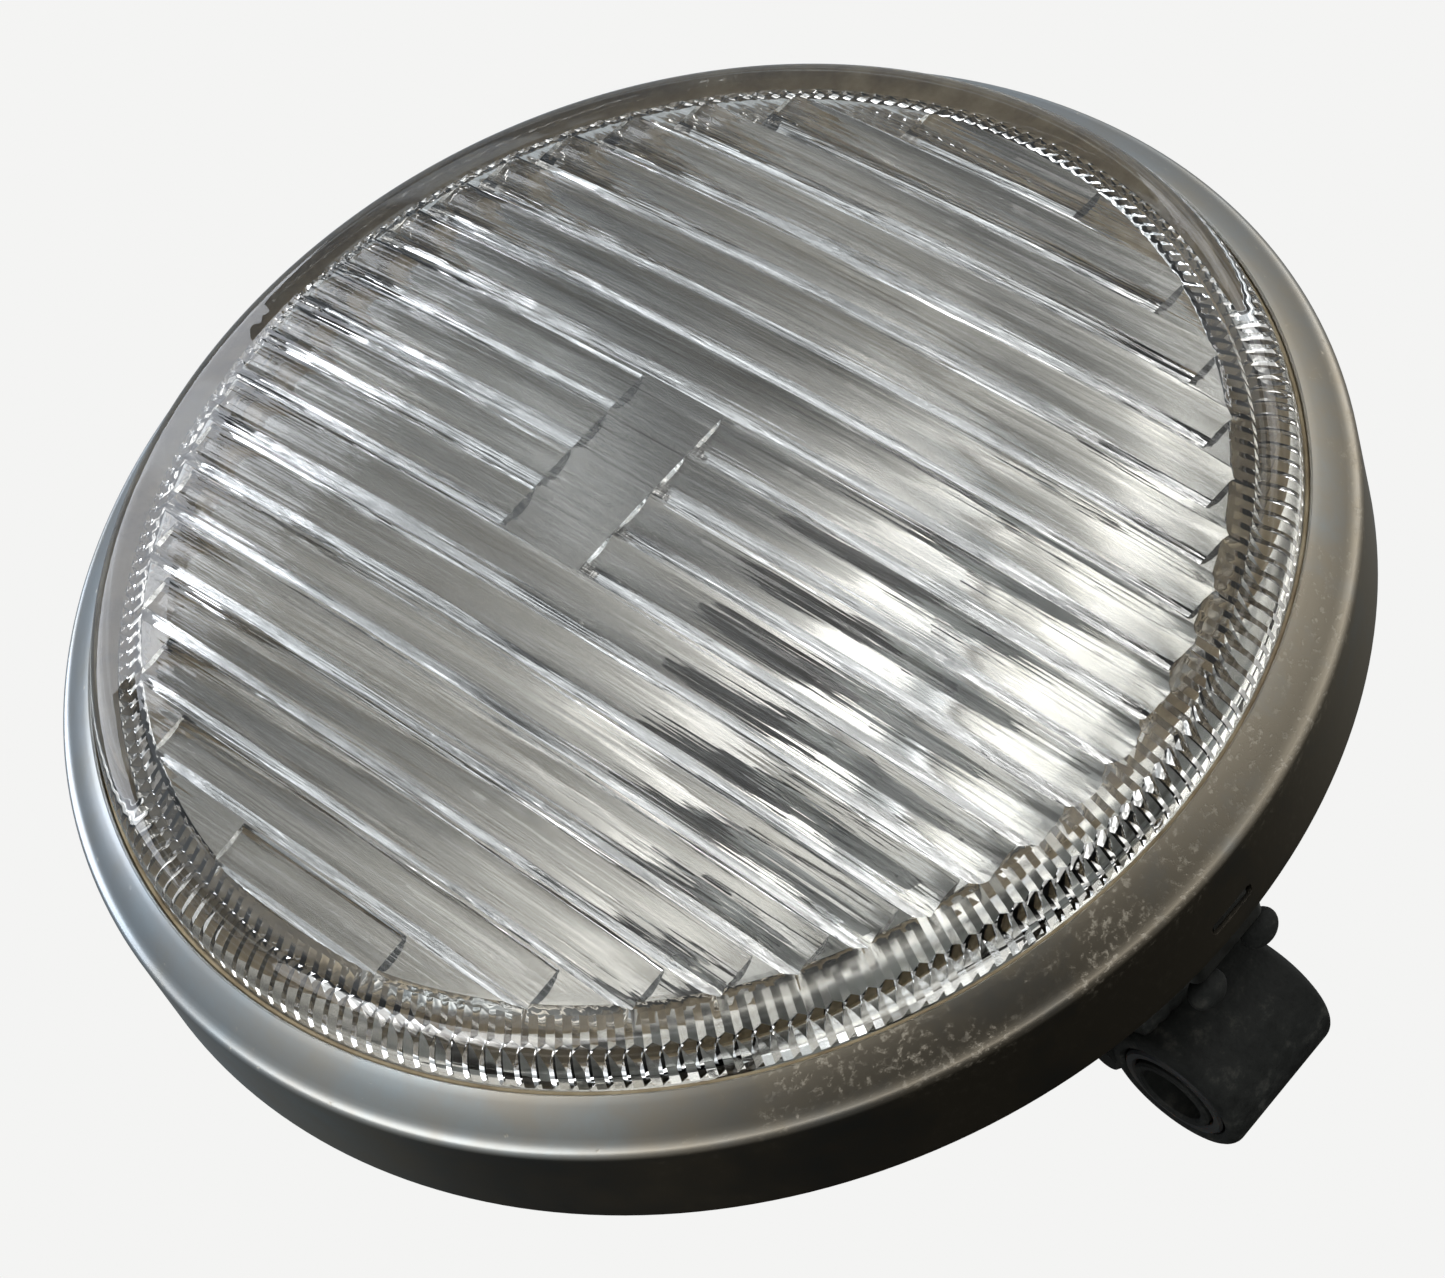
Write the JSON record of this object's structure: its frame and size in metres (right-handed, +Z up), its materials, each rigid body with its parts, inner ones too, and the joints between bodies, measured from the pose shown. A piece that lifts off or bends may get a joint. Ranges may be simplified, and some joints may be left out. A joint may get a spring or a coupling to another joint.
{
  "type": "fog light",
  "caption": "Round halogen fog lamp with a fluted glass lens, chrome rim, parabolic reflector and black bowl that tilts on a cross bolt through a mounting barrel.",
  "frame": {"origin": "middle of the pivot sleeve, on the axis of the cross bolt that the lamp tilts about", "axes": "+Z up, -Y along the beam, +X to the right of someone who faces the lens and along the cross bolt"},
  "size_m": [0.16, 0.1094, 0.161],
  "materials": {
    "chrome": "aged bright chrome plate with pitting",
    "lens_glass": "clear pressed glass, slightly warm",
    "reflector_silver": "vacuum silvered",
    "black_enamel": "satin black stove enamel",
    "black_iron": "dull black",
    "plated_steel": "dull zinc plate",
    "spring_steel": "oiled spring steel",
    "brass": "tinned brass",
    "rubber": "matt black rubber",
    "gasket": "aged tan rubber",
    "nylon": "black nylon",
    "bulb_quartz": "clear quartz",
    "lead_sleeve": "black woven sleeve"
  },
  "bodies": {
    "pivot": {"pivot_sleeve": "black_iron"},
    "housing": {"mounting_barrel": "black_iron", "barrel_bush_left": "nylon", "barrel_bush_right": "nylon", "housing_bowl": "black_enamel", "housing_seal": "rubber", "barrel_weld_front": "black_iron", "barrel_weld_rear": "black_iron", "hinge_trough": "black_enamel", "latch_staple": "plated_steel", "cable_grommet": "rubber", "earth_tab": "brass", "earth_screw": "plated_steel", "earth_nut": "plated_steel", "breather_plug": "rubber"},
    "latch": {"rim_latch": "black_iron"},
    "lens_unit": {"rim": "chrome", "lens": "lens_glass", "lens_gasket": "gasket", "reflector": "reflector_silver", "rim_hook": "plated_steel", "reflector_clip_1": "spring_steel", "reflector_clip_2": "spring_steel", "reflector_clip_3": "spring_steel", "reflector_clip_4": "spring_steel", "bulb_holder": "plated_steel", "clip_bracket": "plated_steel", "bulb_shield": "black_iron", "bulb_base": "plated_steel", "bulb_glass": "bulb_quartz", "bulb_filament": "spring_steel", "bulb_lead": "lead_sleeve", "lead_connector": "brass"},
    "clip": {"bulb_clip": "spring_steel"}
  },
  "joints": [
    {"name": "tilt", "type": "hinge", "parent": "pivot", "child": "housing", "pos_m": [0, 0, 0], "axis": [1, 0, 0], "range_deg": [-20, 20]},
    {"name": "latch_press", "type": "slide", "parent": "housing", "child": "latch", "axis": [0, 0, 1], "range_m": [0, 0.001], "stiffness_N_per_m": 800},
    {"name": "rim_open", "type": "hinge", "parent": "housing", "child": "lens_unit", "pos_m": [0, -0.029, 0.1491], "axis": [-1, 0, 0], "range_deg": [0, 35]},
    {"name": "bulb_clip_swing", "type": "hinge", "parent": "lens_unit", "child": "clip", "pos_m": [0, 0.0179, 0.0837], "axis": [1, 0, 0], "range_deg": [0, 100]}
  ]
}
